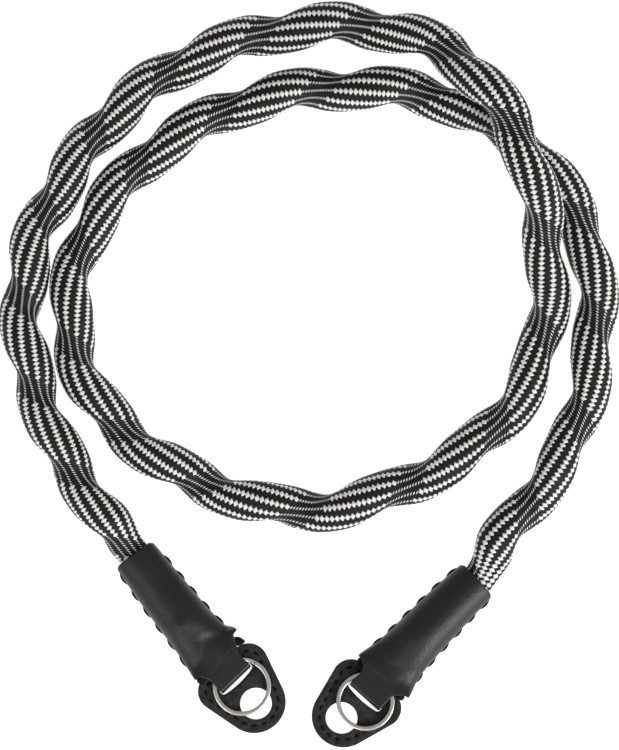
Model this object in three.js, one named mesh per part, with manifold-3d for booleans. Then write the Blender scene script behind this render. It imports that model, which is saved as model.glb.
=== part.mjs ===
// A camera neck strap, laid out in a loose coil on a flat surface.
// One length of woven cord, twisted into a corkscrew of soft lobes, makes one and three quarter turns.
// Each end runs into a leather sleeve. The sleeve is one strip of leather folded in the middle: its
// wide halves close round the cord, and its narrow middle is a tongue that goes over a steel split
// ring, down through the slot of a leather protector pad, and back underneath.
// Millimetres, +Z up. The surface that the strap lies on is z = 0.

import * as THREE from 'three';
import { mergeVertices } from 'three/addons/utils/BufferGeometryUtils.js';
import Module from 'manifold-3d';

const wasm = await Module();
wasm.setup();

// The middle of the coiled strap's outline, in the coordinates of the tables below.
const LAYOUT_CENTRE = { x: -0.104, y: -0.149 };

// Cord: its route as it lies. Lift is the height above lying on the surface, where it climbs over
// its own second turn.
const CORD_ROUTE = [
  { x: -37.7, y: -81.2, lift: 0 },
  { x: -46.2, y: -70.3, lift: 0 },
  { x: -56.2, y: -57.35, lift: 0 },
  { x: -67, y: -43.5, lift: 0 },
  { x: -79, y: -25.2, lift: 0 },
  { x: -88, y: -3, lift: 0 },
  { x: -91.8, y: 19, lift: 0 },
  { x: -88.9, y: 41, lift: 0 },
  { x: -80.2, y: 59.6, lift: 0 },
  { x: -68.2, y: 77.1, lift: 0 },
  { x: -52, y: 92.3, lift: 0 },
  { x: -32.8, y: 103.2, lift: 0 },
  { x: -11, y: 109.8, lift: 0 },
  { x: 12, y: 112, lift: 0 },
  { x: 33.2, y: 108.4, lift: 1.6 },
  { x: 48.6, y: 99.6, lift: 8.8 },
  { x: 61.2, y: 85.3, lift: 14.7 },
  { x: 69, y: 69.8, lift: 15.2 },
  { x: 73.4, y: 53, lift: 11.9 },
  { x: 75.8, y: 38, lift: 5.4 },
  { x: 76, y: 22, lift: 0.7 },
  { x: 72, y: 3, lift: 0 },
  { x: 61, y: -15, lift: 0 },
  { x: 43.8, y: -28.5, lift: 0 },
  { x: 22.2, y: -38.8, lift: 0 },
  { x: -1, y: -43.2, lift: 0 },
  { x: -24, y: -38.6, lift: 0 },
  { x: -45.2, y: -28.7, lift: 0 },
  { x: -62.4, y: -15, lift: 0 },
  { x: -73.6, y: 3, lift: 0 },
  { x: -76.3, y: 25, lift: 0 },
  { x: -69.6, y: 47.8, lift: 0 },
  { x: -54, y: 67.3, lift: 0 },
  { x: -34.4, y: 80.7, lift: 0 },
  { x: -12, y: 89.2, lift: 0 },
  { x: 13, y: 91.8, lift: 0 },
  { x: 36.5, y: 89.7, lift: 0 },
  { x: 58, y: 80.8, lift: 0 },
  { x: 75.7, y: 66.6, lift: 0 },
  { x: 87.6, y: 46.6, lift: 0 },
  { x: 91.6, y: 24, lift: 0 },
  { x: 90, y: 0.5, lift: 0 },
  { x: 83.2, y: -21.7, lift: 0 },
  { x: 70, y: -42, lift: 0 },
  { x: 60, y: -54, lift: 0 },
  { x: 53.9, y: -65.6, lift: 0 },
  { x: 44.35, y: -74.7, lift: 0 },
  { x: 32.6, y: -87, lift: 0 },
];
const CORD_BURIED = 30; // length hidden in each sleeve
const CORD_STEP = 3.4;
const CORD_SIDES = 12;
// The corkscrew: how many turns the groove has made at a distance from the first sleeve's mouth.
// It lies on the right-hand side of the run at each whole turn, and winds to the left over the top.
const CORD_TURNS = [
  { at: -31, turns: -1.9 },
  { at: 25, turns: 0 },
  { at: 172, turns: 5 },
  { at: 300, turns: 9 },
  { at: 507, turns: 15 },
  { at: 600, turns: 18 },
  { at: 762, turns: 23 },
  { at: 862, turns: 26 },
  { at: 961, turns: 29 },
];
const LOBE_RADIUS = 6.25; // mean radius of the cord's lobed section
const LOBE_SHIFT = 1.55; // how far the section leans away from its groove
const LOBE_OVAL = 0.3;
const LYING_HEIGHT = 7.55; // from the surface to the cord's middle line
const BURIED_HALF_WIDTH = 5.2; // the cord is pressed oval inside a sleeve
const BURIED_HALF_HEIGHT = 3.6;
const BURIED_HEIGHT = 5.3;
const NARROWING = 14; // length over which the cord narrows towards a sleeve

// Leather
const LEATHER = 1.3;
const GAP = 0.3;
// A sleeve's outside from its mouth to its flange: half its width, the top of its front, and the
// height of the laced seams at its sides.
const SLEEVE_STATIONS = [
  { at: 0, half: 7.2, top: 10.6, seam: 5.3 },
  { at: 3, half: 7.35, top: 10.7, seam: 5 },
  { at: 9, half: 7.6, top: 10.7, seam: 4.6 },
  { at: 16, half: 7.9, top: 10.6, seam: 4.2 },
  { at: 23, half: 8.1, top: 10.6, seam: 3.9 },
  { at: 29, half: 8.3, top: 10.5, seam: 3.7 },
  { at: 33, half: 8.5, top: 9.6, seam: 3.5 },
  { at: 37, half: 8.9, top: 8.5, seam: 3.3 },
  { at: 43.3, half: 9.7, top: 8, seam: 3.2 },
];
const SEAM_EDGE = 1.2; // half the thickness of the two laced edges
const SLEEVE_BELLY = 1.35; // over 1, the front stands up from the seams as a narrower ridge
const SLEEVE_FLAT = 1.4; // over 1, the underside is flat further out
const CAVITY_HALF = 5.8; // half the width of the hollow round the cord
const CAVITY_FLARE = 6.9; // and where it opens into the tongue's loop
const QUARTER_STEPS = 4; // facets in a quarter of a section
const TONGUE_HALF = 6.2;
const TONGUE_ROOT = -13; // where the tongue's layers start, inside the sleeve, from the fold
const TONGUE_OUTER_ROUND = 2.4;
const TONGUE_INNER_ROUND = 0.7;
const TONGUE_PLAY = 0.1; // more room in the tongue's loop, over the ring, than the gap
const CUTTER_OVER = 1; // how far a cutter goes past the end that it opens

// Protector pad, measured from the fold of the tongue: ahead is away from the sleeve
const PAD_THICK = 2;
const PAD_CORNERS = [{ ahead: -1.5, aside: 6.6, radius: 6.2 }, { ahead: -1.9, aside: -7.1, radius: 6.2 }];
const PAD_END = { ahead: 8.8, aside: -0.9, radius: 10.1 };
const PAD_HOLE = { ahead: 9.6, aside: -0.9, radius: 5.1 };
const PAD_SLOT = { from: -1.75, to: 1.35, half: 6.6, round: 0.9 };
const PAD_SAG = THREE.MathUtils.degToRad(4.5); // it slopes from the tongue down to the surface

// Split ring: two turns of flat wire, one on the other, with a short crossing between them
const RING_RADIUS = 8.65; // to the middle of the wire
const WIRE_WIDE = 1.4;
const WIRE_THICK = 0.7;
const WIRE_CHAMFER = 0.18;
const TURN_RISE = 0.8;
const RING_STEPS = 34; // facets in one turn
const CROSSING = THREE.MathUtils.degToRad(20); // half the angle that the crossing takes
const END_CLEARANCE = THREE.MathUtils.degToRad(3);

// The two ends. Mouth, bend and fold are the control points of a sleeve's middle line.
const ENDS = [
  {
    name: 'left',
    mouth: { x: -56.3, y: -57.3 },
    bend: { x: -36.8, y: -83.7 },
    fold: { x: -23.2, y: -97.8 },
    ring: { ahead: 2.3, aside: -0.3, crossing: 131 },
  },
  {
    name: 'right',
    mouth: { x: 53.9, y: -65.5 },
    bend: { x: 39.9, y: -78.4 },
    fold: { x: 17.4, y: -103.4 },
    ring: { ahead: 0.3, aside: 1.2, crossing: 205 },
  },
];

const wovenCord = new THREE.MeshStandardMaterial({ color: '#6a6967', roughness: 0.85, metalness: 0 });
const blackLeather = new THREE.MeshStandardMaterial({ color: '#2c2d2d', roughness: 0.55, metalness: 0 });
const padLeather = new THREE.MeshStandardMaterial({ color: '#262727', roughness: 0.6, metalness: 0 });
const steel = new THREE.MeshStandardMaterial({ color: '#b5b0aa', roughness: 0.25, metalness: 1 });

const UP = new THREE.Vector3(0, 0, 1);

function smoothStep(from, to, value) {
  const t = THREE.MathUtils.clamp((value - from) / (to - from), 0, 1);
  return t * t * (3 - 2 * t);
}

// The value of one column of a table at a distance, straight between its rows.
function tableValue(table, column, at) {
  const last = table.length - 2;
  let row = table.findIndex((r, i) => i <= last && at < table[i + 1].at);
  if (row < 0) row = last;
  const a = table[row];
  const b = table[row + 1];
  const t = (at - a.at) / (b.at - a.at);
  return THREE.MathUtils.lerp(a[column], b[column], t);
}

// A closed body through rings of points, each ring counterclockwise about the way of travel.
function skinOf(rings) {
  const sides = rings[0].length;
  const middle = (ring) => ring.reduce((sum, p) => sum.add(p), new THREE.Vector3()).divideScalar(sides);
  const points = rings.flat();
  const first = points.push(middle(rings[0])) - 1;
  const last = points.push(middle(rings[rings.length - 1])) - 1;
  const end = (rings.length - 1) * sides;
  const index = [];
  for (let i = 0; i < sides; i++) {
    const next = (i + 1) % sides;
    index.push(first, next, i);
    index.push(last, end + i, end + next);
    for (let k = 0; k < end; k += sides) {
      index.push(k + i, k + next, k + sides + next);
      index.push(k + i, k + sides + next, k + sides + i);
    }
  }
  const geometry = new THREE.BufferGeometry().setFromPoints(points);
  geometry.setIndex(index);
  return geometry;
}

function solidOf(geometry) {
  const bare = geometry.clone();
  bare.deleteAttribute('normal');
  bare.deleteAttribute('uv');
  const merged = mergeVertices(bare, 1e-4);
  const vertProperties = Float32Array.from(merged.attributes.position.array);
  const triVerts = Uint32Array.from(merged.index.array);
  return new wasm.Manifold(new wasm.Mesh({ numProp: 3, vertProperties, triVerts }));
}

function geometryOf(solid) {
  const mesh = solid.getMesh();
  const geometry = new THREE.BufferGeometry();
  geometry.setAttribute('position', new THREE.BufferAttribute(mesh.vertProperties, 3));
  geometry.setIndex(new THREE.BufferAttribute(mesh.triVerts, 1));
  return geometry;
}

// Woven cord

// The distance from the cord's middle line to its skin. The angle is from the left-hand side of
// the run, over the top. Outside the sleeves the section leans away from the groove.
function cordRadius(angle, groove, freedom) {
  const wide = Math.cos(angle) / BURIED_HALF_WIDTH;
  const high = Math.sin(angle) / BURIED_HALF_HEIGHT;
  const pressed = 1 / Math.hypot(wide, high);
  const turn = angle - groove;
  const lobed = LOBE_RADIUS - LOBE_SHIFT * Math.cos(turn) - LOBE_OVAL * Math.cos(2 * turn);
  return THREE.MathUtils.lerp(pressed, lobed, freedom);
}

function cordGeometry() {
  const route = new THREE.CatmullRomCurve3(
    CORD_ROUTE.map((p) => new THREE.Vector3(p.x, p.y, p.lift)), false, 'catmullrom');
  route.arcLengthDivisions = 4000;
  const length = route.getLength();
  const steps = Math.round(length / CORD_STEP);
  const rings = [];
  for (let i = 0; i <= steps; i++) {
    const t = i / steps;
    const fromMouth = t * length - CORD_BURIED;
    const nearest = Math.min(fromMouth, (1 - t) * length - CORD_BURIED);
    const freedom = smoothStep(0, NARROWING, nearest);
    const forward = route.getTangentAt(t);
    const left = new THREE.Vector3().crossVectors(UP, forward).normalize();
    const over = new THREE.Vector3().crossVectors(forward, left);
    const middle = route.getPointAt(t);
    middle.z = Math.max(middle.z, 0) + THREE.MathUtils.lerp(BURIED_HEIGHT, LYING_HEIGHT, freedom);
    const groove = Math.PI * (1 - 2 * tableValue(CORD_TURNS, 'turns', fromMouth));
    const ring = [];
    for (let k = 0; k < CORD_SIDES; k++) {
      const angle = (2 * Math.PI * k) / CORD_SIDES;
      const radius = cordRadius(angle, groove, freedom);
      ring.push(middle.clone()
        .addScaledVector(left, radius * Math.cos(angle))
        .addScaledVector(over, radius * Math.sin(angle)));
    }
    rings.push(ring);
  }
  return skinOf(rings);
}

// Leather sleeve

// Sections across the sleeve are lists of aside and height, from the left-hand edge over the top.

// The leather's outside: a ridge over the cord, blunt laced edges and a flat underside.
function sleeveOutside({ half, top, seam }) {
  const edgeTop = seam + SEAM_EDGE;
  const edgeBottom = seam - SEAM_EDGE;
  const angles = Array.from({ length: 2 * QUARTER_STEPS + 1 }, (_, k) => (Math.PI * k) / (2 * QUARTER_STEPS));
  const front = angles.map((angle) => [
    half * Math.cos(angle), edgeTop + (top - edgeTop) * Math.sin(angle) ** SLEEVE_BELLY]);
  const back = angles.map((angle) => [
    -half * Math.cos(angle), edgeBottom * (1 - Math.min(1, SLEEVE_FLAT * Math.sin(angle)))]);
  return [...front, ...back];
}

// The hollow: an oval that holds the cord and flattens towards the tongue.
function sleeveHollow({ at, top }) {
  const flange = SLEEVE_STATIONS[SLEEVE_STATIONS.length - 1].at;
  const opened = smoothStep(CORD_BURIED, flange, at);
  const half = THREE.MathUtils.lerp(CAVITY_HALF, CAVITY_FLARE, opened);
  const ceiling = top - LEATHER;
  const middle = THREE.MathUtils.lerp(BURIED_HEIGHT, (LEATHER + ceiling) / 2, opened);
  return Array.from({ length: 4 * QUARTER_STEPS }, (_, k) => {
    const angle = (Math.PI * k) / (2 * QUARTER_STEPS);
    const reach = k < 2 * QUARTER_STEPS ? ceiling - middle : middle - LEATHER;
    return [half * Math.cos(angle), middle + reach * Math.sin(angle)];
  });
}

// Rings of points along the sleeve's curved middle line, one for each row of stations.
function sleeveRings(axis, stations, section) {
  const length = axis.getLength();
  return stations.map((row) => {
    const t = THREE.MathUtils.clamp(row.at / length, 0, 1);
    const forward = axis.getTangentAt(t);
    const left = new THREE.Vector3(-forward.y, forward.x, 0);
    const spot = axis.getPointAt(t);
    const middle = new THREE.Vector3(spot.x, spot.y, 0);
    middle.addScaledVector(new THREE.Vector3(forward.x, forward.y, 0), row.at - t * length);
    return section(row).map(([aside, height]) =>
      middle.clone().addScaledVector(left, aside).addScaledVector(UP, height));
  });
}

// The tongue seen from its side: front layer, fold and back layer, with the loop open between them.
function tongueSolid(frame) {
  const slope = Math.tan(PAD_SAG);
  const stack = LEATHER + GAP + PAD_THICK + GAP + TURN_RISE + WIRE_THICK + GAP;
  const ceiling = (ahead) => stack + TONGUE_PLAY - slope * ahead;
  const outer = TONGUE_OUTER_ROUND;
  const inner = LEATHER + TONGUE_INNER_ROUND;
  const profile = new THREE.Shape();
  profile.moveTo(TONGUE_ROOT, 0);
  profile.lineTo(-outer, 0);
  profile.quadraticCurveTo(0, 0, 0, outer);
  profile.lineTo(0, ceiling(0) + LEATHER - outer);
  profile.quadraticCurveTo(0, ceiling(0) + LEATHER, -outer, ceiling(-outer) + LEATHER);
  profile.lineTo(TONGUE_ROOT, ceiling(TONGUE_ROOT) + LEATHER);
  profile.lineTo(TONGUE_ROOT, ceiling(TONGUE_ROOT));
  profile.lineTo(-inner, ceiling(-inner));
  profile.quadraticCurveTo(-LEATHER, ceiling(-LEATHER), -LEATHER, ceiling(-LEATHER) - TONGUE_INNER_ROUND);
  profile.lineTo(-LEATHER, inner);
  profile.quadraticCurveTo(-LEATHER, LEATHER, -inner, LEATHER);
  profile.lineTo(TONGUE_ROOT, LEATHER);
  const strip = new THREE.ExtrudeGeometry(profile, {
    depth: 2 * TONGUE_HALF, bevelEnabled: false, curveSegments: 4,
  });
  strip.rotateX(Math.PI / 2);
  strip.translate(0, TONGUE_HALF, 0);
  strip.applyMatrix4(frame);
  return solidOf(strip);
}

function sleeveGeometry(end) {
  const axis = new THREE.QuadraticBezierCurve3(
    new THREE.Vector3(end.mouth.x, end.mouth.y, 0),
    new THREE.Vector3(end.bend.x, end.bend.y, 0),
    new THREE.Vector3(end.fold.x, end.fold.y, 0));
  const last = SLEEVE_STATIONS[SLEEVE_STATIONS.length - 1];
  const through = [
    { ...SLEEVE_STATIONS[0], at: -CUTTER_OVER }, ...SLEEVE_STATIONS, { ...last, at: last.at + CUTTER_OVER }];
  const outside = solidOf(skinOf(sleeveRings(axis, SLEEVE_STATIONS, sleeveOutside)));
  const hollow = solidOf(skinOf(sleeveRings(axis, through, sleeveHollow)));
  return geometryOf(outside.subtract(hollow).add(tongueSolid(foldFrame(end))));
}

// The place of a tongue's fold: its X axis points away from the sleeve.
function foldFrame(end) {
  const turn = Math.atan2(end.fold.y - end.bend.y, end.fold.x - end.bend.x);
  return new THREE.Matrix4().makeRotationZ(turn).setPosition(end.fold.x, end.fold.y, 0);
}

// Protector pad

// The outline is the tight line round two corner circles and a larger one at the far end, a little to
// one side of the tongue's line.
function padGeometry() {
  const circles = [...PAD_CORNERS, PAD_END];
  // The direction, square to the run, in which the line leaves circle a for circle b.
  const leaving = (a, b) => {
    const run = Math.atan2(b.aside - a.aside, b.ahead - a.ahead);
    const distance = Math.hypot(b.ahead - a.ahead, b.aside - a.aside);
    return run - Math.acos((a.radius - b.radius) / distance);
  };
  const outline = new THREE.Shape();
  circles.forEach((circle, i) => {
    const before = circles[(i + 2) % 3];
    const after = circles[(i + 1) % 3];
    outline.absarc(
      circle.ahead, circle.aside, circle.radius, leaving(before, circle), leaving(circle, after), false);
  });
  outline.closePath();
  const hole = new THREE.Path().absarc(PAD_HOLE.ahead, PAD_HOLE.aside, PAD_HOLE.radius, 0, 2 * Math.PI, true);
  const { from, to, half, round } = PAD_SLOT;
  const slot = new THREE.Path();
  slot.absarc(to - round, round - half, round, 0, -Math.PI / 2, true);
  slot.absarc(from + round, round - half, round, -Math.PI / 2, -Math.PI, true);
  slot.absarc(from + round, half - round, round, Math.PI, Math.PI / 2, true);
  slot.absarc(to - round, half - round, round, Math.PI / 2, 0, true);
  slot.closePath();
  outline.holes.push(hole, slot);
  return new THREE.ExtrudeGeometry(outline, { depth: PAD_THICK, bevelEnabled: false, curveSegments: 6 });
}

// Split ring

function ringGeometry() {
  const from = CROSSING + END_CLEARANCE;
  const to = 4 * Math.PI - CROSSING - END_CLEARANCE;
  const steps = Math.round((to - from) / (2 * Math.PI / RING_STEPS));
  const wide = WIRE_WIDE / 2;
  const thick = WIRE_THICK / 2;
  const cut = WIRE_CHAMFER;
  const section = [
    [wide, -thick + cut], [wide, thick - cut], [wide - cut, thick], [cut - wide, thick],
    [-wide, thick - cut], [-wide, cut - thick], [cut - wide, -thick], [wide - cut, -thick],
  ].reverse();
  const rings = [];
  for (let i = 0; i <= steps; i++) {
    const angle = from + ((to - from) * i) / steps;
    const crossed = smoothStep(2 * Math.PI - CROSSING, 2 * Math.PI + CROSSING, angle);
    const height = TURN_RISE * (crossed - 0.5);
    rings.push(section.map(([out, up]) => new THREE.Vector3(
      (RING_RADIUS + out) * Math.cos(angle), (RING_RADIUS + out) * Math.sin(angle), height + up)));
  }
  return skinOf(rings);
}

// Assembly

function meshOf(name, geometry, material) {
  const mesh = new THREE.Mesh(geometry, material);
  mesh.name = name;
  return mesh;
}

const strap = new THREE.Group();
strap.position.set(-LAYOUT_CENTRE.x, -LAYOUT_CENTRE.y, 0);
strap.add(meshOf('cord', cordGeometry(), wovenCord));

for (const end of ENDS) {
  strap.add(meshOf(`sleeve_${end.name}`, sleeveGeometry(end), blackLeather));

  const fold = new THREE.Group();
  fold.applyMatrix4(foldFrame(end));
  strap.add(fold);

  // The pad and the ring lie on each other on one slope, from the tongue's back layer down to the
  // surface.
  const slope = new THREE.Group();
  slope.position.z = LEATHER + GAP;
  slope.rotation.y = PAD_SAG;
  fold.add(slope);
  slope.add(meshOf(`pad_${end.name}`, padGeometry(), padLeather));

  const ring = meshOf(`ring_${end.name}`, ringGeometry(), steel);
  ring.position.set(end.ring.ahead, end.ring.aside, PAD_THICK + GAP + (TURN_RISE + WIRE_THICK) / 2);
  ring.rotation.z = THREE.MathUtils.degToRad(end.ring.crossing);
  slope.add(ring);
}

export default strap;
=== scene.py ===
"""A neck strap of twisted black and white cord, laid in a loose coil, seen from straight above.

Each end of the cord is closed in a laced leather sleeve, whose tongue holds a leather protector
pad and a split ring. Sizes are in millimetres until a mesh is made, and the surface that the strap
lies on is z = 0.
"""
import math

import bpy
import numpy as np
from mathutils.geometry import delaunay_2d_cdt
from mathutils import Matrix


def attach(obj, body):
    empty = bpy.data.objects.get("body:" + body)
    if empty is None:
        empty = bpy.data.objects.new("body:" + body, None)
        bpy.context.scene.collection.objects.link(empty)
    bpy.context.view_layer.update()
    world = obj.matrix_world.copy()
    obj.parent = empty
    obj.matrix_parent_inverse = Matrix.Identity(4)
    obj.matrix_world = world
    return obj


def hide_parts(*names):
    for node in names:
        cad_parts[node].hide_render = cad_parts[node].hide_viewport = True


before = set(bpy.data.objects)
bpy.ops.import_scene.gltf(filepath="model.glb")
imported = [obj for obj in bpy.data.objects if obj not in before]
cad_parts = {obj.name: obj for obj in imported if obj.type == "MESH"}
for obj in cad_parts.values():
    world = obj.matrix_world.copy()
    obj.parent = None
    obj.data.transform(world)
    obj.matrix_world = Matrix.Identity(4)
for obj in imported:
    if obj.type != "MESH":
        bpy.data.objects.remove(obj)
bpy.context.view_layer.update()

# Stage: a white acrylic table, glowing a little from below, between two large soft lights. The
# camera looks straight down from far above, so that the coil is seen as it is laid out.
view_centre = (0.104, 0.149)
view_height = 240.0  # what the picture's long side takes in, at the middle of the cord
focus_height = 7.5
lens = 400.0


def linear(code):
    """The linear colour of an sRGB hex value, with a solid fourth channel."""
    channels = np.array([int(code[i : i + 2], 16) for i in (1, 3, 5)]) / 255
    low, high = channels / 12.92, ((channels + 0.055) / 1.055) ** 2.4
    return (*np.where(channels <= 0.04045, low, high), 1.0)


def add_node(material, kind, settings=None, links=None):
    """Adds a node, with settings by property or input name, and links to its inputs."""
    node = material.node_tree.nodes.new(kind)
    for key, value in (settings or {}).items():
        if isinstance(key, int) or key in node.inputs:
            node.inputs[key].default_value = value
        else:
            setattr(node, key, value)
    for key, output in (links or {}).items():
        material.node_tree.links.new(output, node.inputs[key])
    return node


def new_material(name):
    """An empty node material and its surface socket."""
    material = bpy.data.materials.new(name)
    material.use_nodes = True
    material.node_tree.nodes.clear()
    output = add_node(material, "ShaderNodeOutputMaterial")
    return material, output.inputs["Surface"]


def make_piece(name, points, faces, material):
    """A smooth mesh object at the origin, from points in millimetres."""
    mesh = bpy.data.meshes.new(name)
    mesh.from_pydata((0.001 * np.asarray(points)).tolist(), [], [list(face) for face in faces])
    mesh.polygons.foreach_set("use_smooth", np.full(len(mesh.polygons), True))
    mesh.materials.append(material)
    mesh.update()
    piece = bpy.data.objects.new(name, mesh)
    bpy.context.scene.collection.objects.link(piece)
    return piece


camera = bpy.data.objects.new("camera", bpy.data.cameras.new("camera"))
camera.data.lens = lens
camera.data.sensor_width = 36.0
camera.data.clip_end = 20.0
camera.location = (
    0.001 * view_centre[0],
    0.001 * view_centre[1],
    0.001 * (focus_height + view_height * lens / camera.data.sensor_width),
)
bpy.context.scene.collection.objects.link(camera)
bpy.context.scene.camera = camera
bpy.context.scene.view_settings.view_transform = "Standard"

world = bpy.data.worlds.new("studio")
bpy.context.scene.world = world
world.use_nodes = True
world.node_tree.nodes["Background"].inputs["Color"].default_value = linear("#ffffff")
world.node_tree.nodes["Background"].inputs["Strength"].default_value = 0.38

# name, place, width, height and power of each light, all aimed at the middle of the coil
lights = [
    ("key_light", (1.75, -1.65, 1.65), 1.3, 1.3, 60.0),
    ("fill_light", (-1.2, -1.9, 1.9), 1.6, 1.6, 22.0),
]
for name, place, width, height, power in lights:
    lamp = bpy.data.lights.new(name, "AREA")
    lamp.shape = "RECTANGLE"
    lamp.size, lamp.size_y, lamp.energy = width, height, power
    light = bpy.data.objects.new(name, lamp)
    light.location = place
    away = np.array(place) / np.linalg.norm(place)
    light.rotation_euler = (math.acos(away[2]), 0.0, math.atan2(away[0], -away[1]))
    bpy.context.scene.collection.objects.link(light)

# opal acrylic, ground matt: the glow from below keeps the shadows on it faint
opal_acrylic, surface = new_material("opal_acrylic")
glow = add_node(
    opal_acrylic, "ShaderNodeBsdfPrincipled",
    {"Base Color": linear("#f4f4f3"), "Roughness": 0.7, "IOR": 1.49,
     "Emission Color": linear("#ffffff"), "Emission Strength": 0.85})
opal_acrylic.node_tree.links.new(glow.outputs["BSDF"], surface)
half_table, table_height = 3000.0, -0.15
table_corners = [
    (x * half_table, y * half_table, table_height) for x, y in ((-1, -1), (1, -1), (1, 1), (-1, 1))]
table_top = make_piece("table_top", table_corners, [(0, 1, 2, 3)], opal_acrylic)

# Cord: about a metre of braided polyester cord, 13 mm thick, black with twelve white lines. It is
# twisted until it keeps the form of a corkscrew, with soft lobes between one winding groove.
cord_route = np.array([
    (-37.7, -81.2, 0), (-46.2, -70.3, 0), (-56.2, -57.35, 0), (-67, -43.5, 0), (-79, -25.2, 0),
    (-88, -3, 0), (-91.8, 19, 0), (-88.9, 41, 0), (-80.2, 59.6, 0), (-68.2, 77.1, 0),
    (-52, 92.3, 0), (-32.8, 103.2, 0), (-11, 109.8, 0), (12, 112, 0), (33.2, 108.4, 1.6),
    (48.6, 99.6, 8.8), (61.2, 85.3, 14.7), (69, 69.8, 15.2), (73.4, 53, 11.9), (75.8, 38, 5.4),
    (76, 22, 0.7), (72, 3, 0), (61, -15, 0), (43.8, -28.5, 0), (22.2, -38.8, 0),
    (-1, -43.2, 0), (-24, -38.6, 0), (-45.2, -28.7, 0), (-62.4, -15, 0), (-73.6, 3, 0),
    (-76.3, 25, 0), (-69.6, 47.8, 0), (-54, 67.3, 0), (-34.4, 80.7, 0), (-12, 89.2, 0),
    (13, 91.8, 0), (36.5, 89.7, 0), (58, 80.8, 0), (75.7, 66.6, 0), (87.6, 46.6, 0),
    (91.6, 24, 0), (90, 0.5, 0), (83.2, -21.7, 0), (70, -42, 0), (60, -54, 0),
    (53.9, -65.6, 0), (44.35, -74.7, 0), (32.6, -87, 0),
])
layout_centre = np.array([-0.104, -0.149])
cord_buried = 30.0
# distance from the first sleeve's mouth, and the turns that the groove has made there
cord_turns = np.array([
    (-31, -1.9), (25, 0), (172, 5), (300, 9), (507, 15), (600, 18), (762, 23), (862, 26),
    (961, 29),
])
lobe_radius, lobe_shift, lobe_oval = 6.25, 1.55, 0.3
lying_height, buried_height = 7.55, 5.3
buried_half_width, buried_half_height = 5.2, 3.6
narrowing = 14.0


def smooth_step(start, end, value):
    """Rises from 0 at start to 1 at end, level at both."""
    t = np.clip((value - start) / (end - start), 0, 1)
    return t * t * (3 - 2 * t)


def curve_through(points, steps):
    """A smooth line through points: each stretch a cubic set by its ends and their neighbours."""
    p = np.vstack([2 * points[0] - points[1], points, 2 * points[-1] - points[-2]])
    t = np.linspace(0, 1, steps, endpoint=False)[:, None]
    a, b, c, d = p[:-3, None], p[1:-2, None], p[2:-1, None], p[3:, None]
    line = b + 0.5 * (
        (c - a) * t + (2 * a - 5 * b + 4 * c - d) * t**2 + (3 * b - a - 3 * c + d) * t**3)
    return np.vstack([line.reshape(-1, points.shape[1]), points[-1]])


def by_length(line, step):
    """The line at even steps of its length, with those distances."""
    along = np.concatenate([[0], np.cumsum(np.linalg.norm(np.diff(line, axis=0), axis=1))])
    at = np.linspace(0, along[-1], int(round(along[-1] / step)) + 1)
    return np.stack([np.interp(at, along, column) for column in line.T], 1), at


cord_line, cord_at = by_length(curve_through(cord_route, 80), 0.5)
cord_length = cord_at[-1]
cord_line[:, :2] -= layout_centre
cord_at = cord_at - cord_buried
cord_forward = np.gradient(cord_line, axis=0)
cord_forward /= np.linalg.norm(cord_forward, axis=1)[:, None]
cord_left = np.cross([0, 0, 1], cord_forward)
cord_left /= np.linalg.norm(cord_left, axis=1)[:, None]
cord_over = np.cross(cord_forward, cord_left)
cord_freedom = smooth_step(
    0, narrowing, np.minimum(cord_at, cord_length - 2 * cord_buried - cord_at))
cord_middle = cord_line.copy()
cord_middle[:, 2] = np.maximum(cord_line[:, 2], 0) + buried_height + (
    lying_height - buried_height) * cord_freedom


def cord_skin(at, angle, raised=0.0):
    """The cord's skin at a distance from the first mouth and an angle from the left, over the top.

    The section is a circle that leans away from the groove, and a pressed oval inside a sleeve:
    radius = 6.25 - 1.55 cos(angle - groove) - 0.3 cos(twice that), plus what is raised."""
    middle, left, over = (
        np.stack([np.interp(at, cord_at, column) for column in table.T], -1)
        for table in (cord_middle, cord_left, cord_over))
    freedom = np.interp(at, cord_at, cord_freedom)
    groove = math.pi * (1 - 2 * np.interp(at, cord_turns[:, 0], cord_turns[:, 1]))
    pressed = 1 / np.hypot(np.cos(angle) / buried_half_width, np.sin(angle) / buried_half_height)
    turn = angle - groove
    lobed = lobe_radius - lobe_shift * np.cos(turn) - lobe_oval * np.cos(2 * turn)
    radius = pressed + (lobed - pressed) * freedom + raised
    return (
        middle + (radius * np.cos(angle))[..., None] * left
        + (radius * np.sin(angle))[..., None] * over)


def grid_faces(rows, columns, closed=False):
    """Four-cornered faces between rows of points, joined round where the rows are closed."""
    i = np.arange(rows - 1)[:, None] * columns
    j = np.arange(columns if closed else columns - 1)[None]
    k = (j + 1) % columns
    return np.stack([i + j, i + k, i + columns + k, i + columns + j], -1).reshape(-1, 4)


# The white lines drift slowly round the cord, against the groove. From groove to groove each line
# has fourteen floats, packed closer as they near the next groove, and eleven slanted dashes in it.
white_lines = 12
line_drift = math.radians(13)  # for each turn of the groove
lobe_from, lobe_to = 0.15, 0.833  # the share of the way from groove to groove with floats
floats_per_lobe, dashes_per_groove = 14, 11
packing = 0.09  # the floats' spacing goes from 1 + this to 1 - this along a lobe


def turns_at(way, line):
    """The turns where a line has gone a way, counted in the grooves that it has crossed."""
    return (2 * math.pi * (way - line / white_lines) + math.pi) / (2 * math.pi + line_drift)


def place_on_line(way, line):
    """The distance and the angle of a place on a line of the braid."""
    turns = turns_at(way, line)
    at = np.interp(turns, cord_turns[:, 1], cord_turns[:, 0])
    return at, 2 * math.pi * line / white_lines + line_drift * turns


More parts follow.
